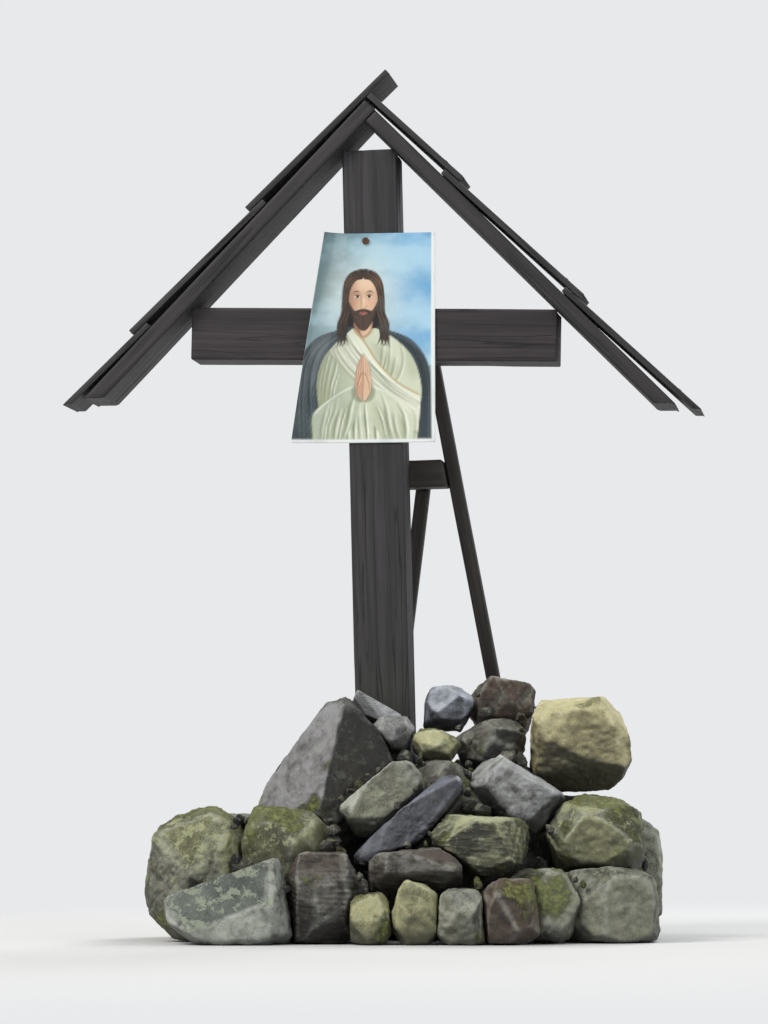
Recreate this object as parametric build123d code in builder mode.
from build123d import *
import math
import os

# A roofed wooden wayside cross with a small picture, propped from behind in a heap of field stones.
# Millimetres. The origin is on the post's axis at floor level, +X is to the right of someone who
# faces the picture, -Y is towards them and +Z is up.

os.makedirs("parts", exist_ok=True)

# Timber cross: the post leans to the left and the bar dips to the right
POST_WIDTH = 78.0
POST_DEPTH = 76.0
POST_BELOW_APEX = 38.0
LEAN_DEG = 1.4
BAR_HALF_LENGTH = 260.0
BAR_MIDDLE = 849.0
BAR_HEIGHT = 75.0
BAR_DEPTH = 76.0
BAR_DIP_DEG = 1.1
LAP_CLEARANCE = 0.2
HOUSING_OVERRUN = 1.0
ARRIS = 2.5
ARRIS_SKEW_DEG = 8.0

# Roof: borne by the bar's top corners and the post's, leaning a little less than the post
ROOF_PITCH_DEG = 45.6
ROOF_LEAN_DEG = 0.6
ROOF_BEARING = 1.4
ROOF_DEPTH = 114.0
ROOF_BOARD_THICKNESS = 22.0
LEFT_EAVE_BELOW_BAR = 88.0
RIGHT_EAVE_BELOW_BAR = 105.0
ROOF_SEAT_GAP = 0.1
COVER_THICKNESS = 9.5
COVER_EXPOSURE = 240.0
LEFT_FIRST_STEP = 115.0
RIGHT_FIRST_STEP = 200.0
COVER_LAP = 26.0
COVER_COURSES = 3
COVER_DRIP = 8.0
COVER_SETBACK = 3.0
COVER_SEAT_GAP = 0.1
RIDGE_LAP = 32.0

# Prop behind the post: a long leg, a short leg and the block that ties them to the post
LEG_WIDTH = 20.0
LEG_DEPTH = 26.0
LEG_HEAD_SIDE = 73.0
LEG_HEAD_INSET = 10.0
LEG_SPLAY_DEG = 8.3
LEG_RAKE_DEG = 12.0
SHORT_LEG_WIDTH = 21.0
SHORT_LEG_DEPTH = 20.0
SHORT_LEG_HEAD_SIDE = 50.0
SHORT_LEG_SPLAY_DEG = -9.5
SHORT_LEG_RAKE_DEG = 9.0
TIE_BOTTOM = 636.0
TIE_HEIGHT = 40.0
TIE_DEPTH = 50.0
TIE_LEFT = -24.0
TIE_RUN = 200.0
PROP_SEAT_GAP = 0.3

# Picture: a sheet that hangs plumb from one nail, its left side curled forward, most at its top
PANEL_WIDTH = 204.0
PANEL_HEIGHT = 297.0
PANEL_THICKNESS = 1.5
PANEL_ABOVE_BAR = 143.0
PANEL_CENTRE = -34.5
PANEL_SEAT_GAP = 0.3
PANEL_FLAT_PAST_NAIL = 9.0
PANEL_TOP_TRIM = 42.0
PANEL_TOP_BEND_DEG = 55.0
PANEL_FOOT_BEND_DEG = 12.0
NAIL_DIAMETER = 4.0
NAIL_HEAD_DIAMETER = 10.0
NAIL_HEAD_THICKNESS = 2.0
NAIL_DEPTH_IN_POST = 30.0
NAIL_DROP = 11.0
NAIL_SIDE = 3.5
NAIL_CLEARANCE = 0.2

# Stones, whose table is in centimetres
STONE_GAP = 0.3
CENTIMETRE = 10.0


def finish(piece, name):
    """Labels a finished piece and writes it as one STEP."""
    piece.part.label = name
    export_step(piece.part, f"parts/{name}.step")


# The post's and the roof's own axes, which lean to the left, and the bar's, which dip to the right
UP = Vector(0, 0, 1).rotate(Axis.Y, -LEAN_DEG)
SIDE = Vector(1, 0, 0).rotate(Axis.Y, -LEAN_DEG)
ROOF_UP = Vector(0, 0, 1).rotate(Axis.Y, -ROOF_LEAN_DEG)
ROOF_SIDE = Vector(1, 0, 0).rotate(Axis.Y, -ROOF_LEAN_DEG)
BAR_UP = Vector(0, 0, 1).rotate(Axis.Y, BAR_DIP_DEG)
BAR_SIDE = Vector(1, 0, 0).rotate(Axis.Y, BAR_DIP_DEG)


def on_post(side, y, up):
    """A point given by its distances along the leaning post's own side, depth and height."""
    return SIDE * side + Vector(0, y, 0) + UP * up


def post_plane(y):
    """The post's upright plane at depth y: local x is to the right, local y is along the post."""
    return Plane(origin=on_post(0, y, 0), x_dir=SIDE, z_dir=(0, -1, 0))


def level_plane(height):
    """The plane across the post at a height along it."""
    return Plane(origin=on_post(0, 0, height), x_dir=SIDE, z_dir=UP)


def bar_plane(y):
    """The bar's upright plane at depth y, about the bar's middle: local x is along the bar."""
    return Plane(origin=on_post(0, y, BAR_MIDDLE), x_dir=BAR_SIDE, z_dir=(0, -1, 0))


def plumb_plane(y):
    """The plumb plane at depth y: local x is to the right and local y is plumb."""
    return Plane(origin=(0, y, 0), x_dir=(1, 0, 0), z_dir=(0, -1, 0))


FLOOR = Plane.XY
PITCH = math.radians(ROOF_PITCH_DEG)
NEARLY_ALONG = math.cos(math.radians(ARRIS_SKEW_DEG))
POST_FRONT = -POST_DEPTH / 2
POST_BACK = POST_DEPTH / 2
BAR_BOTTOM = BAR_MIDDLE - BAR_HEIGHT / 2
BAR_TOP = BAR_MIDDLE + BAR_HEIGHT / 2
PANEL_TOP = BAR_MIDDLE + PANEL_ABOVE_BAR

# The roof sits where both of the bar's top corners bear on it alike.
BAR_CENTRE = on_post(0, 0, BAR_MIDDLE)
LEFT_CORNER = BAR_CENTRE - BAR_SIDE * BAR_HALF_LENGTH + BAR_UP * (BAR_HEIGHT / 2)
RIGHT_CORNER = BAR_CENTRE + BAR_SIDE * BAR_HALF_LENGTH + BAR_UP * (BAR_HEIGHT / 2)
SPAN = (RIGHT_CORNER - LEFT_CORNER).dot(ROOF_SIDE)
RISE = (RIGHT_CORNER - LEFT_CORNER).dot(ROOF_UP)
MIDWAY = (LEFT_CORNER + RIGHT_CORNER) * 0.5
APEX_SHIFT = RISE / (2 * math.tan(PITCH))
APEX_HEIGHT = SPAN * math.tan(PITCH) / 2 - ROOF_BEARING / math.cos(PITCH)
INNER_APEX = MIDWAY + ROOF_SIDE * APEX_SHIFT + ROOF_UP * APEX_HEIGHT
POST_TOP = INNER_APEX.dot(UP) - POST_BELOW_APEX


def gable_plane(y):
    """The roof's upright plane at depth y, about its inner apex: local x is to the right, local y is up."""
    return Plane(origin=INNER_APEX + Vector(0, y, 0), x_dir=ROOF_SIDE, z_dir=(0, -1, 0))


def roof_seat(sign, gap):
    """The underside of a roof board, moved down by gap; its normal points up and outwards."""
    normal = ROOF_SIDE * (sign * math.sin(PITCH)) + ROOF_UP * math.cos(PITCH)
    return Plane(origin=INNER_APEX - normal * gap, x_dir=(0, 1, 0), z_dir=normal)


NAIL_PLACE = (PANEL_CENTRE + NAIL_SIDE, PANEL_TOP - NAIL_DROP)

# Post, with the housing for the crossbar in its front half and the nail's hole
FOOT_RUN = 40.0
with BuildPart() as post:
    with BuildSketch(level_plane(-FOOT_RUN)):
        Rectangle(POST_WIDTH, POST_DEPTH)
    extrude(amount=POST_TOP + FOOT_RUN)
    chamfer(post.edges().filter_by(lambda e: abs(e.tangent_at(0.5).dot(UP)) > NEARLY_ALONG), ARRIS)
    with BuildSketch(bar_plane(POST_FRONT - HOUSING_OVERRUN)):
        Rectangle(2 * POST_WIDTH, BAR_HEIGHT + 2 * LAP_CLEARANCE)
    extrude(amount=-(POST_DEPTH / 2 + HOUSING_OVERRUN + LAP_CLEARANCE), mode=Mode.SUBTRACT)
    with BuildSketch(plumb_plane(POST_FRONT)):
        with Locations(NAIL_PLACE):
            Circle(NAIL_DIAMETER / 2 + NAIL_CLEARANCE)
    extrude(amount=-(NAIL_DEPTH_IN_POST + NAIL_CLEARANCE), mode=Mode.SUBTRACT)
    split(bisect_by=FLOOR, keep=Keep.TOP)
    for sign in (-1, 1):
        split(bisect_by=roof_seat(sign, ROOF_SEAT_GAP), keep=Keep.BOTTOM)
finish(post, "post")

# Crossbar, halved at its back where the post stands, its top corners cut to the roof
with BuildPart() as crossbar:
    with BuildSketch(bar_plane(POST_FRONT)):
        Rectangle(2 * BAR_HALF_LENGTH, BAR_HEIGHT)
    extrude(amount=-BAR_DEPTH)
    chamfer(crossbar.edges().filter_by(lambda e: abs(e.tangent_at(0.5).dot(BAR_SIDE)) > NEARLY_ALONG), ARRIS)
    with BuildSketch(post_plane(POST_FRONT + BAR_DEPTH / 2)):
        with Locations((0, BAR_MIDDLE)):
            Rectangle(POST_WIDTH + 2 * LAP_CLEARANCE, 2 * BAR_HEIGHT)
    extrude(amount=-BAR_DEPTH, mode=Mode.SUBTRACT)
    for sign in (-1, 1):
        split(bisect_by=roof_seat(sign, ROOF_SEAT_GAP), keep=Keep.BOTTOM)
finish(crossbar, "crossbar")


def slope_point(sign, along, out):
    """A point of the gable's outline: along the slope from the inner apex, and out from the underside."""
    side = sign * (along * math.cos(PITCH) + out * math.sin(PITCH))
    up = out * math.cos(PITCH) - along * math.sin(PITCH)
    return side, up


EAVE_SPARE = 2 * ROOF_BOARD_THICKNESS


def eave_level(sign):
    """The level at which the left (-1) or right (1) roof board is cut off, below the bar's middle."""
    drop = LEFT_EAVE_BELOW_BAR if sign < 0 else RIGHT_EAVE_BELOW_BAR
    return BAR_MIDDLE - drop


def slope_length(sign):
    """The underside's length from the inner apex to the eave."""
    return (INNER_APEX.Z - eave_level(sign)) / math.sin(PITCH - sign * math.radians(ROOF_LEAN_DEG))


def roof_board(sign, head):
    """A roof board from its head, a distance up the slope past the inner apex, to the level eave cut."""
    with BuildPart() as board:
        with BuildSketch(gable_plane(-ROOF_DEPTH / 2)):
            with BuildLine():
                Polyline(
                    slope_point(sign, -head, 0),
                    slope_point(sign, -head, ROOF_BOARD_THICKNESS),
                    slope_point(sign, slope_length(sign) + EAVE_SPARE, ROOF_BOARD_THICKNESS),
                    slope_point(sign, slope_length(sign) + EAVE_SPARE, 0),
                    close=True,
                )
            make_face()
        extrude(amount=-ROOF_DEPTH)
        split(bisect_by=FLOOR.offset(eave_level(sign)), keep=Keep.TOP)
    return board


# The left board runs past the apex over the end of the right board.
roof_board_left = roof_board(-1, ROOF_BOARD_THICKNESS)
finish(roof_board_left, "roof_board_left")
roof_board_right = roof_board(1, -ROOF_SEAT_GAP)
finish(roof_board_right, "roof_board_right")

# Covering boards: equal boards lapped like clapboards, all tilted so that each lies flat on the next
TILT = math.asin(COVER_THICKNESS / COVER_EXPOSURE)
COVER_LENGTH = COVER_EXPOSURE + COVER_LAP
COVER_BASE = ROOF_BOARD_THICKNESS + COVER_SEAT_GAP
RIDGE_HEAD = ROOF_BOARD_THICKNESS + 2 * COVER_THICKNESS + RIDGE_LAP


def course_foot(sign, course):
    """How far down the slope a course ends, counted up from the one that the eave's cut shortens."""
    first_step = LEFT_FIRST_STEP if sign < 0 else RIGHT_FIRST_STEP
    return slope_length(sign) + ROOF_BOARD_THICKNESS - first_step - (course - 1) * COVER_EXPOSURE


def cover_point(sign, course, along, out):
    """A point of a tilted covering board: along the slope, and out from the board's own underside."""
    head = course_foot(sign, course) - COVER_LENGTH
    run = along - head
    return slope_point(
        sign,
        head + run * math.cos(TILT) - out * math.sin(TILT),
        COVER_BASE + run * math.sin(TILT) + out * math.cos(TILT),
    )


def cover_board(sign, course, head):
    """A covering board of a course counted up from the eave; the lowest is cut level below the roof board."""
    foot = course_foot(sign, course)
    at_eave = course == 0
    end = foot + EAVE_SPARE if at_eave else foot
    thickness = COVER_THICKNESS - COVER_SEAT_GAP
    with BuildPart() as board:
        with BuildSketch(gable_plane(COVER_SETBACK - ROOF_DEPTH / 2)):
            with BuildLine():
                Polyline(
                    cover_point(sign, course, head, 0),
                    cover_point(sign, course, head, thickness),
                    cover_point(sign, course, end, thickness),
                    cover_point(sign, course, end, 0),
                    close=True,
                )
            make_face()
        extrude(amount=-(ROOF_DEPTH - 2 * COVER_SETBACK))
        if at_eave:
            split(bisect_by=FLOOR.offset(eave_level(sign) - COVER_DRIP), keep=Keep.TOP)
        if sign > 0:
            split(bisect_by=ridge_plane(), keep=Keep.BOTTOM)
    return board


def ridge_plane():
    """The underside of the top left covering board, moved down by the seat gap."""
    top_course = COVER_COURSES - 1
    low = on_gable(cover_point(-1, top_course, 0, -COVER_SEAT_GAP))
    high = on_gable(cover_point(-1, top_course, -RIDGE_HEAD, -COVER_SEAT_GAP))
    normal = Vector(0, 1, 0).cross(high - low) * -1
    return Plane(origin=low, x_dir=(0, 1, 0), z_dir=normal)


def on_gable(point):
    """A point of the gable's outline, in space."""
    return INNER_APEX + ROOF_SIDE * point[0] + ROOF_UP * point[1]


for sign, side_name in ((-1, "left"), (1, "right")):
    for course in range(COVER_COURSES):
        low_head = course_foot(sign, course) - COVER_LENGTH
        at_ridge = course == COVER_COURSES - 1
        cover = cover_board(sign, course, -RIDGE_HEAD if at_ridge else low_head)
        finish(cover, f"cover_{side_name}_{COVER_COURSES - course}")


# Prop legs: battens that lean sideways and back, cut to what they bear on and to the floor
def leg_frame(side, y, height, splay, rake, depth):
    """The plane across a leg where its front face crosses y: local x is across, local y is to the back."""
    down = SIDE * math.tan(math.radians(splay)) + Vector(0, math.tan(math.radians(rake)), 0) - UP
    down = down.normalized()
    across = Vector(0, 1, 0).cross(down).normalized()
    across = across if across.dot(SIDE) > 0 else across * -1
    back = down.cross(across)
    back = back if back.Y > 0 else back * -1
    return Plane(origin=on_post(side, y, height) + back * (depth / 2), x_dir=across, z_dir=across.cross(back))


LEG_RUN = 2000.0


def prop_leg(frame, width, depth, seat_y, top):
    """A leg through its frame, bevelled to the upright face at seat_y, cut level at its top and the floor."""
    with BuildPart() as leg:
        with BuildSketch(frame):
            Rectangle(width, depth)
        extrude(amount=LEG_RUN, both=True)
        split(bisect_by=Plane(origin=(0, seat_y, 0), z_dir=(0, 1, 0)), keep=Keep.TOP)
        split(bisect_by=level_plane(top), keep=Keep.BOTTOM)
        split(bisect_by=FLOOR, keep=Keep.TOP)
    return leg


BAR_SEAT = POST_BACK + PROP_SEAT_GAP
LEG_FRAME = leg_frame(
    LEG_HEAD_SIDE, BAR_SEAT, BAR_BOTTOM + LEG_HEAD_INSET, LEG_SPLAY_DEG, LEG_RAKE_DEG, LEG_DEPTH
)
prop_leg_right = prop_leg(LEG_FRAME, LEG_WIDTH, LEG_DEPTH, BAR_SEAT, BAR_TOP - LEG_HEAD_INSET)
finish(prop_leg_right, "prop_leg_right")

TIE_BACK = BAR_SEAT + TIE_DEPTH
TIE_SEAT = TIE_BACK + PROP_SEAT_GAP
SHORT_LEG_FRAME = leg_frame(
    SHORT_LEG_HEAD_SIDE, TIE_SEAT, TIE_BOTTOM, SHORT_LEG_SPLAY_DEG, SHORT_LEG_RAKE_DEG, SHORT_LEG_DEPTH
)
prop_leg_left = prop_leg(
    SHORT_LEG_FRAME, SHORT_LEG_WIDTH, SHORT_LEG_DEPTH, TIE_SEAT, TIE_BOTTOM + TIE_HEIGHT
)
finish(prop_leg_left, "prop_leg_left")

# The tie block is nailed to the post's back, and its right end is cut to the long leg's side.
LEG_SIDE_FACE = Plane(
    origin=LEG_FRAME.origin - LEG_FRAME.x_dir * (LEG_WIDTH / 2 + PROP_SEAT_GAP),
    x_dir=LEG_FRAME.z_dir,
    z_dir=LEG_FRAME.x_dir,
)
with BuildPart() as prop_tie:
    with BuildSketch(post_plane(BAR_SEAT)):
        with Locations((TIE_LEFT, TIE_BOTTOM)):
            Rectangle(TIE_RUN, TIE_HEIGHT, align=(Align.MIN, Align.MIN))
    extrude(amount=-TIE_DEPTH)
    split(bisect_by=LEG_SIDE_FACE, keep=Keep.BOTTOM)
finish(prop_tie, "prop_tie")

# Picture panel: flat across the post, then curled forward, with its left edge cut aslant
PANEL_BACK = POST_FRONT - PANEL_SEAT_GAP
PANEL_FACE = PANEL_BACK - PANEL_THICKNESS
PANEL_RIGHT = PANEL_CENTRE + PANEL_WIDTH / 2
BEND_START = NAIL_PLACE[0] - PANEL_FLAT_PAST_NAIL
CURL_RUN = BEND_START - (PANEL_CENTRE - PANEL_WIDTH / 2)


def panel_section(height, bend_deg, trim):
    """The sheet's outline at a height: a straight part, then an arc that turns forward by bend_deg."""
    radius = (CURL_RUN - trim) / math.radians(bend_deg)
    with BuildSketch(Plane.XY.offset(height)) as section:
        with BuildLine():
            back = Line((PANEL_RIGHT, PANEL_BACK), (BEND_START, PANEL_BACK))
            back_bend = JernArc(back @ 1, (-1, 0), radius, bend_deg)
            front = Line((PANEL_RIGHT, PANEL_FACE), (BEND_START, PANEL_FACE))
            front_bend = JernArc(front @ 1, (-1, 0), radius - PANEL_THICKNESS, bend_deg)
            Line(back @ 0, front @ 0)
            Line(back_bend @ 1, front_bend @ 1)
        make_face()
    return section.sketch.face()


panel_foot = panel_section(PANEL_TOP - PANEL_HEIGHT, PANEL_FOOT_BEND_DEG, 0)
panel_head = panel_section(PANEL_TOP, PANEL_TOP_BEND_DEG, PANEL_TOP_TRIM)
with BuildPart() as picture_panel:
    loft(sections=[panel_foot, panel_head], ruled=True)
    with BuildSketch(plumb_plane(PANEL_BACK)):
        with Locations(NAIL_PLACE):
            Circle(NAIL_DIAMETER / 2 + NAIL_CLEARANCE)
    extrude(amount=2 * PANEL_THICKNESS, mode=Mode.SUBTRACT)
finish(picture_panel, "picture_panel")

# Nail: a shank through the sheet into the post, under a flat round head
with BuildPart() as picture_nail:
    with BuildSketch(plumb_plane(PANEL_FACE - PANEL_SEAT_GAP)):
        with Locations(NAIL_PLACE):
            Circle(NAIL_HEAD_DIAMETER / 2)
    extrude(amount=NAIL_HEAD_THICKNESS)
    with BuildSketch(plumb_plane(PANEL_FACE - PANEL_SEAT_GAP)):
        with Locations(NAIL_PLACE):
            Circle(NAIL_DIAMETER / 2)
    extrude(amount=-(NAIL_DEPTH_IN_POST + PANEL_THICKNESS + PANEL_SEAT_GAP))
finish(picture_nail, "picture_nail")

# A stone's form: how far its clefts lie out, as a share of the egg, how many there are and their swing
ROUNDED = (0.95, 15, 0.06)
BROKEN = (1.0, 11, 0.1)
BLOCKY = (1.17, 9, 0.08)

# Stones of the heap, in centimetres: name, centre, size along its own axes, turn about the vertical,
# tip about its own y axis, and its form. Each is a block cleft by planes that touch an egg.
STONES = (
    ("stone_wedge_slab", (-18.0, -29.0, 4.6), (19.0, 13.0, 14.0), 6, -12, BLOCKY),
    ("stone_mossy_left", (-23.6, -17.6, 8.6), (16.0, 15.0, 19.8), 20, 0, ROUNDED),
    ("stone_mossy_low_left", (-12.2, -18.6, 9.0), (15.0, 13.0, 18.4), -12, 6, BROKEN),
    ("stone_pyramid", (-5.8, -10.6, 20.2), (22.0, 14.5, 43.0), 6, 0, BLOCKY),
    ("stone_round_cobble", (1.2, -8.6, 28.4), (6.6, 6.4, 5.6), 30, 0, ROUNDED),
    ("stone_green_pebble", (7.2, -8.8, 26.6), (7.2, 6.6, 5.2), -20, 8, ROUNDED),
    ("stone_bluish", (8.2, 0.0, 32.2), (7.2, 8.2, 6.6), 15, 0, BROKEN),
    ("stone_dark_upper", (15.4, 3.0, 32.0), (9.2, 10.0, 9.2), -25, 10, BROKEN),
    ("stone_dark_lower", (14.6, -3.6, 26.8), (9.6, 9.6, 7.4), 35, -10, BROKEN),
    ("stone_square_block", (26.6, -3.0, 27.0), (13.6, 13.4, 13.2), 14, -3, BLOCKY),
    ("stone_grey_ramp", (18.6, -12.8, 20.4), (15.0, 10.4, 7.0), 8, 32, BLOCKY),
    ("stone_diagonal_slab", (1.0, -16.8, 19.4), (12.2, 8.0, 6.2), 12, -38, BLOCKY),
    ("stone_wet_splinter", (5.2, -21.4, 15.6), (19.4, 6.0, 5.0), 16, -42, BLOCKY),
    ("stone_layered_slab", (14.4, -21.2, 13.2), (13.2, 12.0, 8.2), -6, 4, BLOCKY),
    ("stone_dark_flat", (6.2, -24.4, 9.8), (12.8, 11.0, 6.0), 10, -6, BLOCKY),
    ("stone_brown", (-6.2, -26.0, 6.0), (10.8, 11.6, 13.0), 25, 0, BROKEN),
    ("stone_green_small", (1.0, -29.6, 3.0), (6.0, 6.8, 8.2), 0, 0, BROKEN),
    ("stone_yellow_green", (6.8, -29.4, 3.8), (6.8, 7.4, 10.2), 40, 0, ROUNDED),
    ("stone_grey_small", (12.9, -28.6, 3.2), (7.2, 7.8, 8.8), -30, 0, BROKEN),
    ("stone_brown_small", (19.0, -27.0, 4.0), (8.6, 8.6, 10.0), 15, 0, BROKEN),
    ("stone_mossy_right", (29.6, -12.8, 14.2), (15.0, 13.0, 11.4), 14, 6, ROUNDED),
    ("stone_foot_right", (31.0, -14.8, 4.0), (15.6, 14.0, 13.0), -8, 0, BROKEN),
    ("stone_front_right", (22.8, -20.4, 4.6), (9.4, 10.4, 11.6), 30, 0, BROKEN),
    ("stone_core_front", (5.8, -11.2, 13.2), (20.0, 15.0, 26.0), 5, 0, BROKEN),
    ("stone_core_right", (16.0, 1.0, 11.8), (19.0, 19.0, 26.0), -10, 0, BROKEN),
    ("stone_low_right", (28.2, 2.0, 9.2), (18.0, 19.0, 22.0), 22, 0, BROKEN),
    ("stone_back_left", (-11.8, 10.4, 11.2), (21.5, 20.0, 26.2), 18, 4, BROKEN),
    ("stone_back_middle", (4.4, 12.6, 11.2), (15.0, 15.0, 25.0), -15, 0, BROKEN),
    ("stone_back_right", (20.6, 15.8, 9.2), (18.0, 17.0, 21.0), 28, 0, BROKEN),
    ("stone_low_left", (-23.6, -2.2, 8.2), (19.0, 20.5, 18.6), -10, 0, BROKEN),
)

# Plain faces of the stones that have them: how far along its normal each lies from the stone's centre
CLEAVED = {
    "stone_pyramid": (
        (13.1, (0.365, 0.0, 0.931)),
        (9.3, (-0.8, -0.05, 0.6)),
        (5.4, (0.3, -0.93, 0.22)),
        (5.9, (-0.5, -0.8, 0.34)),
    ),
    "stone_wedge_slab": (
        (5.0, (-0.1, -0.86, 0.5)),
        (4.4, (-0.36, 0.1, 0.93)),
        (7.6, (0.97, -0.1, 0.2)),
        (6.8, (-0.62, -0.1, -0.78)),
    ),
    "stone_square_block": ((7.2, (0.79, -0.1, 0.6)), (6.6, (0.1, -0.75, -0.65))),
    "stone_layered_slab": ((5.4, (-0.5, -0.5, 0.7)),),
    "stone_grey_ramp": ((5.6, (-0.7, -0.3, 0.65)),),
}
GOLDEN_ANGLE = math.pi * (3 - math.sqrt(5))

# The clefts' pattern turns by one angle from stone to stone, and their swing runs through two more
PATTERN_TURN = 1.7
SWING_FROM_CLEFT = 3.1
SWING_FROM_STONE = 2.3

# Two stones are parted from each other when they lie nearer than this many egg radii
REACH = 1.45


def placed_stone(index):
    """A stone's own axes at its centre, and its size along them."""
    _, centre, size, turn, tip, _ = STONES[index]
    frame = Plane(Location(Vector(*centre) * CENTIMETRE, Vector(0, tip, turn)))
    return frame, [length * CENTIMETRE for length in size]


def gauge(vector, frame, size):
    """How many egg radii long a vector is, in a stone's own axes."""
    halves = (size[0] / 2, size[1] / 2, size[2] / 2)
    axes = (frame.x_dir, frame.y_dir, frame.z_dir)
    return math.sqrt(sum((vector.dot(axis) / half) ** 2 for axis, half in zip(axes, halves)))


def egg_normal(vector, frame, size):
    """The direction square to the egg where a vector from its centre leaves it."""
    halves = (size[0] / 2, size[1] / 2, size[2] / 2)
    axes = (frame.x_dir, frame.y_dir, frame.z_dir)
    normal = Vector(0, 0, 0)
    for axis, half in zip(axes, halves):
        normal += axis * (vector.dot(axis) / half**2)
    return normal.normalized()


def cleft_planes(frame, size, form, number):
    """Planes spread by the golden angle about the stone's egg, each a little in or out."""
    margin, clefts, swing = form
    planes = []
    for k in range(clefts):
        rise = 1 - 2 * (k + 0.5) / clefts
        ring = math.sqrt(1 - rise * rise)
        bearing = k * GOLDEN_ANGLE + number * PATTERN_TURN
        touch = (
            frame.x_dir * (ring * math.cos(bearing) * size[0] / 2)
            + frame.y_dir * (ring * math.sin(bearing) * size[1] / 2)
            + frame.z_dir * (rise * size[2] / 2)
        )
        share = margin + swing * math.cos(SWING_FROM_CLEFT * k + SWING_FROM_STONE * number)
        normal = egg_normal(touch, frame, size)
        planes.append(Plane(origin=frame.origin + touch * share, z_dir=normal))
    return planes


def parting_planes(index):
    """For each neighbour within reach, the plane between the two stones, half a gap from the middle."""
    frame, size = placed_stone(index)
    planes = []
    for other in range(len(STONES)):
        far_frame, far_size = placed_stone(other)
        if other == index:
            continue
        way = far_frame.origin - frame.origin
        own = gauge(way, frame, size)
        far = gauge(way, far_frame, far_size)
        if own * far / (own + far) > REACH:
            continue
        share = far / (own + far)
        normal = (egg_normal(way, frame, size) + egg_normal(way, far_frame, far_size)).normalized()
        meeting = frame.origin + way * share
        planes.append(Plane(origin=meeting - normal * (STONE_GAP / 2), z_dir=normal))
    return planes


def cleaved_planes(frame, name):
    """The plain faces listed for a stone."""
    planes = []
    for distance, way in CLEAVED.get(name, ()):
        normal = Vector(*way).normalized()
        planes.append(Plane(origin=frame.origin + normal * (distance * CENTIMETRE), z_dir=normal))
    return planes


def timber_plane(centre, section, width, depth):
    """The face of a timber, a gap out, on the side where a stone's centre lies; its normal is inward."""
    from_axis = centre - section.origin
    faces = []
    for axis, half in ((section.x_dir, width / 2), (section.x_dir * -1, width / 2)):
        faces.append((from_axis.dot(axis) - half, axis, half))
    for axis, half in ((section.y_dir, depth / 2), (section.y_dir * -1, depth / 2)):
        faces.append((from_axis.dot(axis) - half, axis, half))
    _, axis, half = max(faces, key=lambda face: face[0])
    return Plane(origin=section.origin + axis * (half + STONE_GAP), z_dir=axis * -1)


def stone(index):
    """A stone of the heap, parted from its neighbours, the timbers and the floor."""
    name, form = STONES[index][0], STONES[index][-1]
    frame, size = placed_stone(index)
    cuts = cleft_planes(frame, size, form, index + 1) + cleaved_planes(frame, name) + parting_planes(index)
    cuts.append(timber_plane(frame.origin, level_plane(0), POST_WIDTH, POST_DEPTH))
    cuts.append(timber_plane(frame.origin, LEG_FRAME, LEG_WIDTH, LEG_DEPTH))
    cuts.append(timber_plane(frame.origin, SHORT_LEG_FRAME, SHORT_LEG_WIDTH, SHORT_LEG_DEPTH))
    with BuildPart(frame) as rock:
        Box(*size)
        for cut in cuts:
            split(bisect_by=cut, keep=Keep.BOTTOM)
        split(bisect_by=FLOOR, keep=Keep.TOP)
    return rock


for index, row in enumerate(STONES):
    finish(stone(index), row[0])
